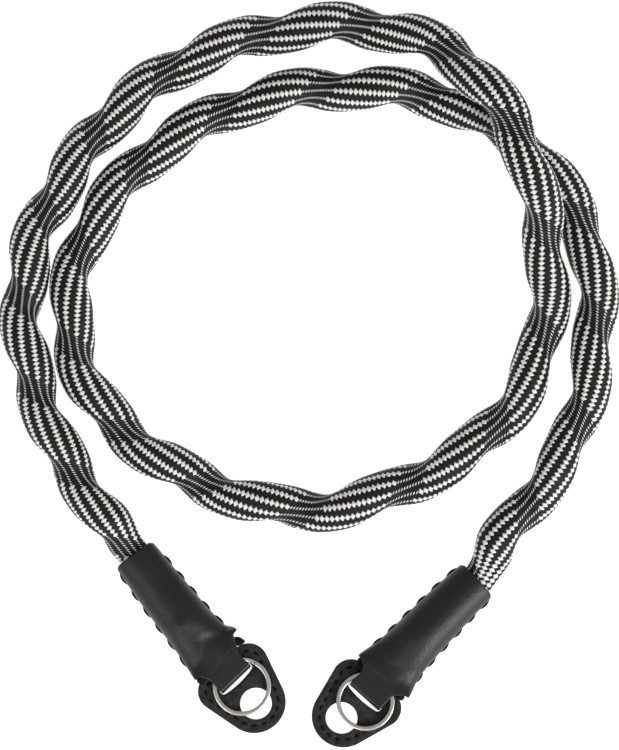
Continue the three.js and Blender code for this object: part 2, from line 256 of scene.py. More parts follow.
def braid_relief(way):
    """How many floats have passed on a line, and how far it is from the groove, 1 on the lobe."""
    share = way - np.floor(way)
    y = np.clip((share - lobe_from) / (lobe_to - lobe_from), 0, 1)
    count = ((1 + packing) - np.sqrt((1 + packing) ** 2 - 4 * packing * y)) / (2 * packing)
    edge = smooth_step(lobe_from - 0.02, lobe_from + 0.02, share) * (
        1 - smooth_step(lobe_to - 0.02, lobe_to + 0.01, share))
    return floats_per_lobe * count, edge


# the skin has four columns of braid for each white line, and about three rows for each float
skin_rows, skin_columns = 1930, 4 * white_lines
thread_relief = 0.07  # how far the braid's checks stand out and in
skin_at = np.linspace(-cord_buried, cord_length - cord_buried, skin_rows)
skin_turns = np.interp(skin_at, cord_turns[:, 0], cord_turns[:, 1])[:, None]
skin_line = np.arange(skin_columns)[None] / 4
skin_angle = 2 * math.pi * skin_line / white_lines + line_drift * skin_turns
skin_way = skin_line / white_lines + (
    (2 * math.pi + line_drift) * skin_turns - math.pi) / (2 * math.pi)
count, on_lobe = braid_relief(skin_way)
checker = -np.cos(2 * math.pi * count) * (1 - 2 * (np.arange(skin_columns) % 2))[None]
skin_points = cord_skin(
    np.broadcast_to(skin_at[:, None], skin_angle.shape), skin_angle,
    thread_relief * checker * on_lobe)
ends = np.stack([skin_points[0].mean(0), skin_points[-1].mean(0)])
first, last = skin_rows * skin_columns, skin_rows * skin_columns + 1
ring = np.arange(skin_columns)
following = (ring + 1) % skin_columns
last_row = (skin_rows - 1) * skin_columns
skin_quads = grid_faces(skin_rows, skin_columns, closed=True)
end_faces = [(first, b, a) for a, b in zip(ring, following)] + [
    (last, last_row + a, last_row + b) for a, b in zip(ring, following)]

black_thread, surface = new_material("black_polyester_braid")
# spun polyester thread: matt, with a faint silky sheen along its filaments
thread_place = add_node(black_thread, "ShaderNodeTexCoord")
filaments = add_node(
    black_thread, "ShaderNodeTexNoise", {"Scale": 1400.0, "Detail": 3.0},
    {"Vector": thread_place.outputs["Object"]})
filament_bump = add_node(
    black_thread, "ShaderNodeBump", {"Strength": 0.35, "Distance": 0.0002},
    {"Height": filaments.outputs["Fac"]})
shade = add_node(
    black_thread, "ShaderNodeValToRGB", {}, {"Fac": filaments.outputs["Fac"]})
darker, lighter = shade.color_ramp.elements
darker.position, lighter.position = 0.3, 0.75
darker.color, lighter.color = linear("#0c0c0c"), linear("#262625")
skin_shader = add_node(
    black_thread, "ShaderNodeBsdfPrincipled",
    {"Roughness": 0.62, "IOR": 1.5, "Specular IOR Level": 0.22},
    {"Base Color": shade.outputs["Color"], "Normal": filament_bump.outputs["Normal"]})
black_thread.node_tree.links.new(skin_shader.outputs["BSDF"], surface)

cord = make_piece(
    "cord_braid", np.vstack([skin_points.reshape(-1, 3), ends]),
    [*skin_quads.tolist(), *end_faces], black_thread)
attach(cord, "strap")
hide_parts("cord")


pillow_steps = 4
pillow_clear, pillow_root = 0.04, -0.25  # its rim's height over the skin, and its point under it


def pillows(at, angle, long, wide, slant, height):
    """Small closed pillows of thread on the skin, one for each place, and their faces.

    On a grid of p and q from -1 to 1, closer near the rim, a point lies at long times (p + q) / 2
    along and wide times (p - q) / 2 across, turned by the slant, and height times (1 - p p p p)
    (1 - q q q q) up. The rim stands just clear of the skin and closes at one point under it."""
    steps = pillow_steps
    side = np.linspace(-1, 1, steps)
    side = np.sign(side) * np.sqrt(np.abs(side))
    p, q = (grid.ravel() for grid in np.meshgrid(side, side, indexing="ij"))
    p, q = np.append(p, 0), np.append(q, 0)
    along = long[:, None] * (p + q) / 2
    across = wide[:, None] * (p - q) / 2
    turned_along = along * math.cos(slant) - across * math.sin(slant)
    turned_across = along * math.sin(slant) + across * math.cos(slant)
    up = pillow_clear + height * (1 - p**4) * (1 - q**4)
    up[-1] = pillow_root
    spot = cord_skin(at, angle)
    middle = np.stack([np.interp(at, cord_at, column) for column in cord_middle.T], -1)
    radius = np.linalg.norm(spot - middle, axis=-1)
    points = cord_skin(
        at[:, None] + turned_along, angle[:, None] + turned_across / radius[:, None],
        np.broadcast_to(up, along.shape))
    one = grid_faces(steps, steps)
    rim = np.concatenate([
        np.arange(steps - 1), steps * np.arange(1, steps) - 1,
        steps * steps - 1 - np.arange(steps - 1), steps * np.arange(steps - 1, 0, -1)])
    under = np.stack([np.roll(rim, -1), rim, np.full(len(rim), steps * steps)], 1)
    start = (steps * steps + 1) * np.arange(len(at))[:, None, None]
    faces = [
        *(one[:, ::-1] + start).reshape(-1, 4).tolist(),
        *(under[:, ::-1] + start).reshape(-1, 3).tolist()]
    return points.reshape(-1, 3), faces


white_thread, surface = new_material("white_polyester_thread")
# bright spun polyester: nearly white, soft, with a little light going through its filaments
white_place = add_node(white_thread, "ShaderNodeTexCoord")
white_filaments = add_node(
    white_thread, "ShaderNodeTexNoise", {"Scale": 1500.0, "Detail": 2.0},
    {"Vector": white_place.outputs["Object"]})
white_bump = add_node(
    white_thread, "ShaderNodeBump", {"Strength": 0.3, "Distance": 0.0002},
    {"Height": white_filaments.outputs["Fac"]})
white_shade = add_node(
    white_thread, "ShaderNodeValToRGB", {}, {"Fac": white_filaments.outputs["Fac"]})
darker, lighter = white_shade.color_ramp.elements
darker.position, lighter.position = 0.3, 0.7
darker.color, lighter.color = linear("#dedbd6"), linear("#fcfbf8")
white_shader = add_node(
    white_thread, "ShaderNodeBsdfPrincipled",
    {"Roughness": 0.55, "IOR": 1.5, "Specular IOR Level": 0.3, "Sheen Weight": 0.1},
    {"Base Color": white_shade.outputs["Color"], "Normal": white_bump.outputs["Normal"]})
white_thread.node_tree.links.new(white_shader.outputs["BSDF"], surface)

visible_from, visible_to = -2.0, cord_length - 2 * cord_buried + 2.0  # 2 mm into each sleeve
grooves = np.arange(-3, 34)  # more than the cord has, as only the visible places are kept


def spread_on_lines(shares):
    """The places at these shares of the way from groove to groove, on all the white lines.

    Each comes with its share and with half the distance to the places next to it."""
    line, groove, share = np.meshgrid(np.arange(white_lines), grooves, shares, indexing="ij")
    at, angle = place_on_line(groove + share, line)
    reach = 0.5 * np.gradient(shares)[None, None] * (
        place_on_line(groove + 1, line)[0] - place_on_line(groove, line)[0])
    shown = (at > visible_from) & (at < visible_to)
    return at[shown], angle[shown], share[shown], reach[shown]


# floats are lengthwise diamonds, which widen as they leave a groove, and dashes slant across it
float_height, dash_height, dash_slant = 0.2, 0.16, math.radians(132)
step = (np.arange(floats_per_lobe) + 0.5) / floats_per_lobe
float_shares = lobe_from + (lobe_to - lobe_from) * (step * (1 + packing) - packing * step**2)
at, angle, share, reach = spread_on_lines(float_shares)
grown = smooth_step(lobe_from, lobe_from + 0.25, share)
float_points, float_faces = pillows(
    at, angle, 1.14 * reach, 0.96 + 0.28 * grown, 0.0, float_height)
white_floats = make_piece("cord_white_floats", float_points, float_faces, white_thread)

step = (np.arange(dashes_per_groove) + 0.5) / dashes_per_groove
dash_shares = lobe_to - 1 + (1 - lobe_to + lobe_from) * step
at, angle, _, reach = spread_on_lines(dash_shares)
dash_points, dash_faces = pillows(at, angle, 1.5 * reach, 0.48 * reach, dash_slant, dash_height)
white_dashes = make_piece("cord_white_dashes", dash_points, dash_faces, white_thread)
for piece in (white_floats, white_dashes):
    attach(piece, "strap")

# Sleeves: each is one strip of smooth black leather, 1.3 mm thick, folded in the middle. Its wide
# halves close round the cord and are laced along both edges, and its narrow middle is the tongue.
leather, gap = 1.3, 0.3
# distance from the mouth, half the width, the top of the front and the height of the laced seams
sleeve_stations = np.array([
    (0, 7.2, 10.6, 5.3), (3, 7.35, 10.7, 5), (9, 7.6, 10.7, 4.6), (16, 7.9, 10.6, 4.2),
    (23, 8.1, 10.6, 3.9), (29, 8.3, 10.5, 3.7), (33, 8.5, 9.6, 3.5), (37, 8.9, 8.5, 3.3),
    (43.3, 9.7, 8, 3.2),
])
seam_edge, sleeve_belly, sleeve_flat = 1.2, 1.35, 1.4
flange_at = sleeve_stations[-1, 0]
tongue_half, shoulder_half = 6.3, 7.6
# how far before its fold, and how far down it, the tongue's top bends, outside and inside
nose_from, nose_drop, roof_from, roof_drop = 1.3, 3.8, 3.5, 1.9
outer_round, inner_round = 2.4, 0.7  # the tongue's lower bend, outside and inside
pad_thick, pad_sag = 2.0, math.radians(4.5)
wire_wide, wire_thick, turn_rise = 1.4, 0.7, 0.8
ring_radius, tongue_play = 8.65, 0.1
tongue_ceiling = leather + gap + pad_thick + gap + turn_rise + wire_thick + gap + tongue_play
# Mouth, bend and fold set the middle line. The ring's middle is given from the fold, ahead and
# aside. Lacing is where the stitches start, corner how far the flange's corner is cut back and
# flare how much further out it stands, each for the right-hand edge first. A dent has a distance,
# a place aside, a depth, a length, a width and a lean.
sleeve_ends = {
    "left": dict(
        mouth=(-56.3, -57.3), bend=(-36.8, -83.7), fold=(-23.2, -97.8),
        ring=(2.3, -0.3), crossing=131,
        lacing=(4.6, 8.2), corner=(0.0, 3.3), flare=(0.2, 1.3),
        dents=[
            (27, -2.4, -0.45, 2.2, 2.6, 0), (32, -2.5, 0.3, 2.6, 3.2, 0), (12, 3.5, 0.25, 6, 2, 0),
            (36.5, 3, 0.3, 1.6, 4, 0.4), (39.5, -4, 0.25, 1.2, 3.5, -0.5),
            (45.3, -1.5, 0.1, 0.7, 4, -0.12), (46.6, 2.5, 0.08, 0.6, 3, 0.08)]),
    "right": dict(
        mouth=(53.9, -65.5), bend=(39.9, -78.4), fold=(17.4, -103.4),
        ring=(0.3, 1.2), crossing=205,
        lacing=(4.6, 4.0), corner=(-0.4, 0.3), flare=(0.8, 1.0),
        dents=[
            (29, 2, 0.35, 3.5, 3, -0.2), (33, -3.5, 0.3, 3, 3, 0), (18, -3, 0.2, 7, 2, 0),
            (37.5, 2.5, 0.25, 1.5, 4, -0.4), (40, -3, 0.2, 1.2, 4, 0.3),
            (44.2, -1, 0.1, 0.7, 5, -0.1), (45.6, 2, 0.08, 0.7, 4, 0.1),
            (46.8, -2, 0.08, 0.6, 3, 0)]),
}


def station(column, at):
    """A column of the sleeve's stations at a distance, evened out over 4 mm."""
    near = np.asarray(at)[..., None] + np.linspace(-2, 2, 9)
    return np.interp(near, sleeve_stations[:, 0], sleeve_stations[:, column]).mean(-1)


def sleeve_axis(end):
    """The middle line from mouth to fold: it leaves towards the bend and arrives from it."""
    mouth, bend, fold = (
        np.array(end[key], float) - layout_centre for key in ("mouth", "bend", "fold"))
    t = np.linspace(0, 1, 400)[:, None]
    return by_length((1 - t) ** 2 * mouth + 2 * t * (1 - t) * bend + t**2 * fold, 0.1)


def beside_axis(line, line_at, at, aside, height):
    """The point beside the middle line at a distance, going straight on past its ends."""
    tangent = np.gradient(line, axis=0)
    tangent /= np.linalg.norm(tangent, axis=1)[:, None]
    held = np.clip(at, 0, line_at[-1])
    spot = np.stack([np.interp(held, line_at, column) for column in line.T], -1)
    forward = np.stack([np.interp(held, line_at, column) for column in tangent.T], -1)
    left = np.stack([-forward[..., 1], forward[..., 0]], -1)
    flat = spot + (at - held)[..., None] * forward + aside[..., None] * left
    return np.concatenate([flat, height[..., None]], -1)


def half_width(at):
    """Half the strip's width: the stations', then a step in and a hollow curve to the tongue's."""
    past, body = at - flange_at, station(1, at)
    shoulder = shoulder_half + (tongue_half - shoulder_half) * smooth_step(0.3, 3.2, past)
    return np.where(past <= 0, body, body + (shoulder - body) * smooth_step(0, 0.5, past))


def rounding(inset, size=0.45):
    """How far a cut edge is rounded off at an inset from it: a quarter circle."""
    left_over = 1 - np.clip(inset, 0, size) / size
    return size * (1 - np.sqrt(1 - left_over**2))


def mouth_recess(at, across):
    """How far the mouth's corners are cut back: 1.1 mm at the edge, dying away over 4 mm."""
    corner = np.clip((np.abs(across) - 0.76) / 0.24, 0, 1)
    return 1.1 * corner**2 * (1 - smooth_step(0, 4, at))


def flange_corner(at, across, end):
    """How far back each corner of the flange is cut, and how much further out it stands.

    Both grow towards the edge and over the last 8 mm before the flange, and end just past it."""
    side = smooth_step(0.5, 0.75, np.abs(across))
    near = smooth_step(flange_at - 8, flange_at, at) * (
        1 - smooth_step(flange_at + 0.3, flange_at + 2.5, at))
    back, out = (np.where(across < 0, *end[key]) for key in ("corner", "flare"))
    return back * side * near, out * side * near * np.sign(across)


def front_height(at, across, end, fold_at):
    """The top of the front: a ridge over the cord, flattening to the tongue's slope, with dents.

    Height = seam + 1.2 + (top - seam - 1.2) times sin(angle) to the power 1.35, where across is
    cos(angle), less depth times exp(-(past / long)^2 - (beside / wide)^2) for each dent."""
    seam, top = station(3, at), station(2, at)
    ridge = np.clip(1 - across**2, 0, 1) ** (sleeve_belly / 2)
    body = seam + seam_edge + (top - seam - seam_edge) * ridge
    tongue = tongue_ceiling + leather - math.tan(pad_sag) * (at - fold_at) + 0 * across
    front = body + (tongue - body) * smooth_step(flange_at - 4, flange_at + 1.2, at)
    aside = across * half_width(at)
    for dent_at, dent_aside, depth, long, wide, lean in end["dents"]:
        past, beside = at - dent_at - lean * (aside - dent_aside), aside - dent_aside
        front = front - depth * np.exp(-((past / long) ** 2) - (beside / wide) ** 2)
    return front


def back_height(at, across):
    """The underside of the back: flat on the surface, rising to the seams at its sides."""
    seam = station(3, at)
    rise = 1 - np.minimum(1, sleeve_flat * np.sqrt(np.clip(1 - across**2, 0, 1)))
    return (seam - seam_edge) * rise * (1 - smooth_step(flange_at - 1, flange_at + 1, at))


def bent(start, corner, end, t):
    """A rounded corner: the curve from start to end that is drawn towards the corner."""
    start, corner, end = (np.array(point, float)[:, None] for point in (start, corner, end))
    return (1 - t) ** 2 * start + 2 * t * (1 - t) * corner + t**2 * end


def sleeve_strip(end):
    """The strip's outer and inner faces as grids, from the front's mouth over the fold and back.

    Rows go along the strip and columns across it, closer together near the edges."""
    line, line_at = sleeve_axis(end)
    fold_at = line_at[-1]
    angle = np.linspace(0, math.pi, 45)
    across = np.cos(angle)
    front_at = np.concatenate([
        [0, 0.1, 0.25, 0.5], np.linspace(1, flange_at - 0.6, 62),
        flange_at + np.array([-0.3, -0.1, 0, 0.12, 0.25, 0.38, 0.5]),
        np.linspace(flange_at + 0.8, fold_at - nose_from - 0.2, 11),
    ])
    t = np.linspace(0, 1, 13)
    top_at_nose = tongue_ceiling + leather + math.tan(pad_sag) * nose_from
    top_at_fold = tongue_ceiling + leather
    roof_at_bend = tongue_ceiling + math.tan(pad_sag) * roof_from
    roof_at_wall = tongue_ceiling + math.tan(pad_sag) * leather
    inner_bend = leather + inner_round
    outer_nose = np.concatenate([
        bent((-nose_from, top_at_nose), (0, top_at_fold), (0, top_at_fold - nose_drop), t),
        bent((0, outer_round), (0, 0), (-outer_round, 0), t)], 1)
    inner_nose = np.concatenate([
        bent((-roof_from, roof_at_bend), (-leather, roof_at_wall),
             (-leather, roof_at_wall - roof_drop), t),
        bent((-leather, inner_bend), (-leather, leather), (-inner_bend, leather), t)], 1)

    at = front_at[:, None] + 0 * across
    wide = half_width(at)
    inset = wide * (1 - np.abs(across))
    edge = np.maximum(rounding(inset), rounding(at))
    front = front_height(at, across, end, fold_at)
    outer_front = front - edge
    slope = np.gradient(front, axis=1) / np.minimum(np.gradient(wide * across, axis=1), -1e-3)
    drop = leather * np.minimum(np.hypot(1, slope), 1.7)
    floor = station(3, at) + 0.03
    shut = 1 - smooth_step(flange_at - 1, flange_at + 1, at)
    inner_front = np.maximum(front - drop, floor * shut) + 0.5 * edge
    inner_front = np.minimum(inner_front, outer_front - 0.2)
    outer_back = back_height(at, across) + 0.6 * edge
    inner_back = outer_back - 0.6 * edge + leather
    inner_back = np.where(shut > 0, np.minimum(inner_back, station(3, at) - 0.03), inner_back)
    inner_back = np.maximum(inner_back - 0.4 * edge, outer_back + 0.2)

    nose_wide = np.full((outer_nose.shape[1], 1), tongue_half)
    nose_edge = 0.6 * rounding(nose_wide * (1 - np.abs(across)))
    centre_at, centre_height = (outer_nose + inner_nose)[:, :, None] / 2
    pinch = 1 - nose_edge / leather
    outer_nose_at = centre_at + fold_at + (outer_nose[0][:, None] - centre_at) * pinch
    outer_nose_height = centre_height + (outer_nose[1][:, None] - centre_height) * pinch
    inner_nose_at = centre_at + fold_at + (inner_nose[0][:, None] - centre_at) * pinch
    inner_nose_height = centre_height + (inner_nose[1][:, None] - centre_height) * pinch

    def face(front, nose_at, nose_height, back):
        back_by, out_by = flange_corner(at, across, end)
        cut = at + mouth_recess(at, across) - back_by
        aside = wide * across + out_by
        places = np.concatenate([cut, nose_at, cut[::-1]])
        heights = np.concatenate([front, nose_height, back[::-1]])
        asides = np.concatenate([aside, nose_wide * across, aside[::-1]])
        return beside_axis(line, line_at, places, asides, heights)

    return (
        face(outer_front, outer_nose_at, outer_nose_height, outer_back),
        face(inner_front, inner_nose_at, inner_nose_height, inner_back),
    )


def closed_wall(outer, inner):
    """The points and faces of a closed body between two grids of the same rows and columns."""
    rows, columns = outer.shape[:2]
    faces = grid_faces(rows, columns)
    count = rows * columns
    border = np.concatenate([
        np.arange(columns - 1), np.arange(1, rows) * columns - 1,
        count - 1 - np.arange(columns - 1), np.arange(rows - 1, 0, -1) * columns])
    turn = np.roll(border, -1)
    sides = np.stack([turn, border, border + count, turn + count], 1)
    points = np.concatenate([outer.reshape(-1, 3), inner.reshape(-1, 3)])
    return points, np.concatenate([faces, faces[:, ::-1] + count, sides])


smooth_leather, surface = new_material("smooth_black_calf_leather")
# drummed and lightly polished calf: a soft sheen that breaks up in a fine grain and small creases
leather_place = add_node(smooth_leather, "ShaderNodeTexCoord")
grain = add_node(
    smooth_leather, "ShaderNodeTexVoronoi", {"Scale": 1900.0},
    {"Vector": leather_place.outputs["Object"]})
creases = add_node(
    smooth_leather, "ShaderNodeTexNoise", {"Scale": 800.0, "Detail": 4.0, "Distortion": 0.3},
    {"Vector": leather_place.outputs["Object"]})
relief = add_node(
    smooth_leather, "ShaderNodeMix", {"data_type": "FLOAT", 0: 0.5},
    {2: grain.outputs["Distance"], 3: creases.outputs["Fac"]})
leather_bump = add_node(
    smooth_leather, "ShaderNodeBump", {"Strength": 0.4, "Distance": 0.0003},
    {"Height": relief.outputs["Result"]})
hand = add_node(
    smooth_leather, "ShaderNodeTexNoise", {"Scale": 55.0, "Detail": 3.0},
    {"Vector": leather_place.outputs["Object"]})
leather_shade = add_node(smooth_leather, "ShaderNodeValToRGB", {}, {"Fac": hand.outputs["Fac"]})
darker, lighter = leather_shade.color_ramp.elements
darker.position, lighter.position = 0.3, 0.7
darker.color, lighter.color = linear("#0f1011"), linear("#181817")
sheen_range = add_node(
    smooth_leather, "ShaderNodeMapRange", {"To Min": 0.36, "To Max": 0.5},
    {"Value": creases.outputs["Fac"]})
leather_shader = add_node(
    smooth_leather, "ShaderNodeBsdfPrincipled", {"IOR": 1.5, "Specular IOR Level": 0.45},
    {"Base Color": leather_shade.outputs["Color"], "Roughness": sheen_range.outputs["Result"],
     "Normal": leather_bump.outputs["Normal"]})
smooth_leather.node_tree.links.new(leather_shader.outputs["BSDF"], surface)

for side, end in sleeve_ends.items():
    points, faces = closed_wall(*sleeve_strip(end))
    sleeve = make_piece(f"sleeve_leather_{side}", points, faces, smooth_leather)
    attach(sleeve, "strap")
    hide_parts(f"sleeve_{side}")

# Lacing: a waxed black thread that closes both edges of each sleeve with slanted whip stitches.
stitch_pitch, stitch_half, thread_radius = 6.4, 1.9, 0.55
knot_past, knot_aside, knot_reach, knot_lean = 0.9, 8.2, 0.6, 1.2  # past the flange, and aside


def tube(path, radius, sides):
    """The rings of points of a round tube about a path, in a frame that is carried along it."""
    forward = np.gradient(path, axis=-2)
    forward /= np.linalg.norm(forward, axis=-1, keepdims=True)
    across = np.cross(forward, [0.03, 0.02, 1.0])
    across /= np.linalg.norm(across, axis=-1, keepdims=True)
    over = np.cross(forward, across)
    turn = np.arange(sides) * 2 * math.pi / sides
    spoke = (
        np.cos(turn)[:, None] * across[..., None, :]
        + np.sin(turn)[:, None] * over[..., None, :])
    return path[..., None, :] + radius[..., None, None] * spoke


def tube_bodies(paths, radius, sides=8):
    """Closed tubes along many paths of the same number of points, fused into one list of faces."""
    count, rows = paths.shape[:2]
    rings = tube(paths, radius, sides)
    tips = paths[:, [0, -1]]
    points = np.concatenate([rings.reshape(count, -1, 3), tips], 1)
    walls = grid_faces(rows, sides, closed=True)
    ring = np.arange(sides)
    following = (ring + 1) % sides
    first, last, end = rows * sides, rows * sides + 1, (rows - 1) * sides
    caps = np.concatenate([
        np.stack([np.full(sides, first), following, ring], 1),
        np.stack([np.full(sides, last), end + ring, end + following], 1)])
    start = np.arange(count)[:, None, None] * (rows * sides + 2)
    faces = [*(walls + start).reshape(-1, 4).tolist(), *(caps + start).reshape(-1, 3).tolist()]
    return points.reshape(-1, 3), faces


thread_and_hole_shade, surface = new_material("waxed_black_thread_and_hole_shade")
# waxed and braided linen: nearly black, with a dull shine where the wax has been pulled smooth. It
# is darker than the thread's own black: painted shade that stands in for the dark stitch holes that
# the thread sits in
wax_place = add_node(thread_and_hole_shade, "ShaderNodeTexCoord")
wax = add_node(
    thread_and_hole_shade, "ShaderNodeTexNoise", {"Scale": 1100.0, "Detail": 2.0},
    {"Vector": wax_place.outputs["Object"]})
wax_bump = add_node(
    thread_and_hole_shade, "ShaderNodeBump", {"Strength": 0.4, "Distance": 0.0002},
    {"Height": wax.outputs["Fac"]})
wax_shade = add_node(thread_and_hole_shade, "ShaderNodeValToRGB", {}, {"Fac": wax.outputs["Fac"]})
darker, lighter = wax_shade.color_ramp.elements
darker.color, lighter.color = linear("#040404"), linear("#131313")
wax_shader = add_node(
    thread_and_hole_shade, "ShaderNodeBsdfPrincipled",
    {"Roughness": 0.7, "IOR": 1.48, "Specular IOR Level": 0.15},
    {"Base Color": wax_shade.outputs["Color"], "Normal": wax_bump.outputs["Normal"]})
thread_and_hole_shade.node_tree.links.new(wax_shader.outputs["BSDF"], surface)

for side, end in sleeve_ends.items():
    line, line_at = sleeve_axis(end)
    stitches, knots = [], []
    for edge, lacing_from, corner in zip((-1, 1), end["lacing"], end["corner"]):
        start = np.arange(lacing_from, flange_at - corner - stitch_half, stitch_pitch)[:, None]
        t = np.linspace(-1, 1, 13)[None]
        at = start + stitch_half * t
        bow = np.cos(0.5 * math.pi * t)
        aside = edge * (station(1, at) - 0.45 + 0.6 * bow**0.7)
        height = station(3, at) - 0.3 - 0.8 * np.sin(0.5 * math.pi * t)
        stitches.append(beside_axis(line, line_at, at, aside, height))
        # the thread's end, tied off beside the tongue, longer where the corner is cut back
        at = flange_at + knot_past - 0.35 * corner - (knot_reach + 0.28 * corner) * t
        aside = edge * (knot_aside + 0.1 * corner - (knot_lean + 0.1 * corner) * t)
        height = station(3, at) + 0.9 * bow
        stitches.append(beside_axis(line, line_at, at, aside, height))
        knots.append(sum(map(len, stitches)) - 1)
    paths = np.concatenate(stitches)
    thick = np.full(paths.shape[:2], thread_radius)
    thick[knots] *= 1 + 1.7 * bow
    points, faces = tube_bodies(paths, thick)
    lacing = make_piece(f"sleeve_lacing_{side}", points, faces, thread_and_hole_shade)
    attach(lacing, "strap")

# Protector pads: two layers of leather, glued and stitched to 2 mm, with a round hole at the far
# end and a slot for the tongue. They keep the split ring off the camera's body.
# ahead, aside and radius of the outline's three circles and of the hole
pad_circles = [(-1.5, 6.6, 6.2), (-1.9, -7.1, 6.2), (8.8, -0.9, 10.1)]
pad_hole = (9.6, -0.9, 5.1)
slot_from, slot_to, slot_half, slot_round = -1.75, 1.2, 6.6, 0.9
slot_bow = 0.75  # how much less far the slot reaches at its two ends
stitch_inset, pad_stitch_pitch, pad_stitch_half = 2.5, 3.3, 1.15
pad_rim_drop, pad_swell, pad_press, press_reach = 0.12, 0.12, 0.34, 0.55
field_step = 0.55


def round_points(x, y, radius, start, end, count):
    """Points on an arc from one angle to another."""
    angle = np.linspace(start, end, count)
    return np.stack([x + radius * np.cos(angle), y + radius * np.sin(angle)], 1)


def pad_outline(inset):
    """The tight line round the two corner circles and the far end's, at an inset."""
    leaving = []
    for a, b in zip(pad_circles, pad_circles[1:] + pad_circles[:1]):
        run = math.atan2(b[1] - a[1], b[0] - a[0])
        leaving.append(run - math.acos((a[2] - b[2]) / math.dist(a[:2], b[:2])))
    parts = []
    for i, (x, y, radius) in enumerate(pad_circles):
        start, end = leaving[i - 1], leaving[i]
        end += 2 * math.pi * math.ceil((start - end) / (2 * math.pi))
        parts.append(round_points(x, y, radius - inset, start, end, 26))
    return np.vstack([
        np.vstack([arc, arc[-1] + np.linspace(0, 1, 14)[1:-1, None] * (after[0] - arc[-1])])
        for arc, after in zip(parts, parts[1:] + parts[:1])])


def hole_outline(inset):
    """The round hole's edge, grown by an inset."""
    x, y, radius = pad_hole
    return round_points(x, y, radius + inset, 0, 2 * math.pi, 73)[:-1]


def slot_outline(inset):
    """The slot's edge, grown by an inset: rounded corners, straight sides and a bowed far side."""
    near, far, high = slot_from + slot_round, slot_to - slot_round, slot_half - slot_round
    corners = [(far, high, 0), (near, high, 1), (near, -high, 2), (far, -high, 3)]
    arcs = [
        round_points(x, y, slot_round + inset, 0.5 * math.pi * turn, 0.5 * math.pi * (turn + 1), 6)
        for x, y, turn in corners]
    line = np.vstack([
        np.vstack([arc, arc[-1] + np.linspace(0, 1, 12)[1:-1, None] * (after[0] - arc[-1])])
        for arc, after in zip(arcs, arcs[1:] + arcs[:1])])
    share = np.clip((line[:, 0] - slot_from) / (slot_to - slot_from), 0, 1)
    line[:, 0] -= slot_bow * share * (line[:, 1] / slot_half) ** 2
    return line


def inside(points, loop):
    """Whether each point is in a loop: a line from it crosses the loop an odd number of times."""
    x, y = points[:, 0][:, None], points[:, 1][:, None]
    ax, ay = loop.T
    bx, by = np.roll(loop, -1, 0).T
    crossing = (ay > y) != (by > y)
    reach = (bx - ax) * (y - ay) / np.where(by == ay, 1e-9, by - ay) + ax
    return (crossing & (x < reach)).sum(1) % 2 == 1


def distance_to(points, loop):
    """How far each point is from a loop's nearest point."""
    return np.linalg.norm(points[:, None] - loop[None], axis=2).min(1)


def pad_mesh():
    """The pad's points and faces: rims at growing insets, and a triangulated face inside them.

    The face is pressed in by 0.34 mm times exp(-(distance / 0.55)^2) from the line of stitches, and
    swells by 0.12 mm away from its edges."""
    insets = np.array([0, 0.06, 0.2, 0.42])
    loops = [
        [shape(inset) for inset in insets]
        for shape in (pad_outline, hole_outline, slot_outline)]
    inner = [rims[-1] for rims in loops]
    i, j = np.meshgrid(np.arange(-20, 50), np.arange(-30, 31), indexing="ij")
    field = np.stack([
        (i + 0.5 * (j % 2)).ravel() * field_step, j.ravel() * field_step * 0.866], 1)
    keep = inside(field, inner[0]) & ~inside(field, inner[1]) & ~inside(field, inner[2])
    keep &= np.min([distance_to(field, loop) for loop in inner], axis=0) > 0.35 * field_step
    field = field[keep]
    border = np.vstack(inner)
    starts = np.cumsum([0] + [len(loop) for loop in inner])
    edges = [
        (int(start + k), int(start + (k + 1) % (end - start)))
        for start, end in zip(starts[:-1], starts[1:]) for k in range(end - start)]
    flat = np.vstack([border, field])
    points, _, triangles, _, _, _ = delaunay_2d_cdt(flat.tolist(), edges, [], 0, 1e-6)
    points = np.array([list(point) for point in points])
    triangles = np.array([list(face) for face in triangles if len(face) == 3])
    middles = points[triangles].mean(1)
    held = inside(middles, inner[0]) & ~inside(middles, inner[1]) & ~inside(middles, inner[2])
    triangles = triangles[held]
    a, b, c = (points[triangles[:, k]] for k in range(3))
    turned = (b - a)[:, 0] * (c - a)[:, 1] - (b - a)[:, 1] * (c - a)[:, 0] < 0
    triangles[turned] = triangles[turned][:, ::-1]

    from_stitch = distance_to(points, pad_outline(stitch_inset))
    from_edge = np.min([distance_to(points, loop) for loop in inner], axis=0)
    edge_top = pad_thick - pad_rim_drop
    swell = pad_swell * smooth_step(0, 1.2, from_edge)
    top = edge_top + swell - pad_press * np.exp(-((from_stitch / press_reach) ** 2))
    all_points = [np.column_stack([points, top]), np.column_stack([points, 0 * top])]
    faces = [*triangles.tolist(), *(triangles[:, ::-1] + len(points)).tolist()]
    count = 2 * len(points)
    lower = np.sqrt(1 - (1 - insets[:-1] / insets[-1]) ** 2)
    for index, rims in enumerate(loops):
        size = len(rims[0])
        ring = np.arange(size)
        following = (ring + 1) % size
        upper_rims = [count + k * size + ring for k in range(3)]
        lower_rims = [count + (3 + k) * size + ring for k in range(3)]
        rim_heights = [*(edge_top - 0.5 * (1 - lower)), *(0.4 * (1 - lower))]
        for rim, height in zip([*rims[:3], *rims[:3]], rim_heights):
            all_points.append(np.column_stack([rim, np.full(size, height)]))
        count += 6 * size
        inner_ring = starts[index] + ring
        chain = [inner_ring, *upper_rims[::-1], *lower_rims, inner_ring + len(points)]
        for a, b in zip(chain, chain[1:]):
            quad = np.stack([a, b, b[following], a[following]], 1)
            faces += (quad if index == 0 else quad[:, ::-1]).tolist()
    return np.vstack(all_points), faces


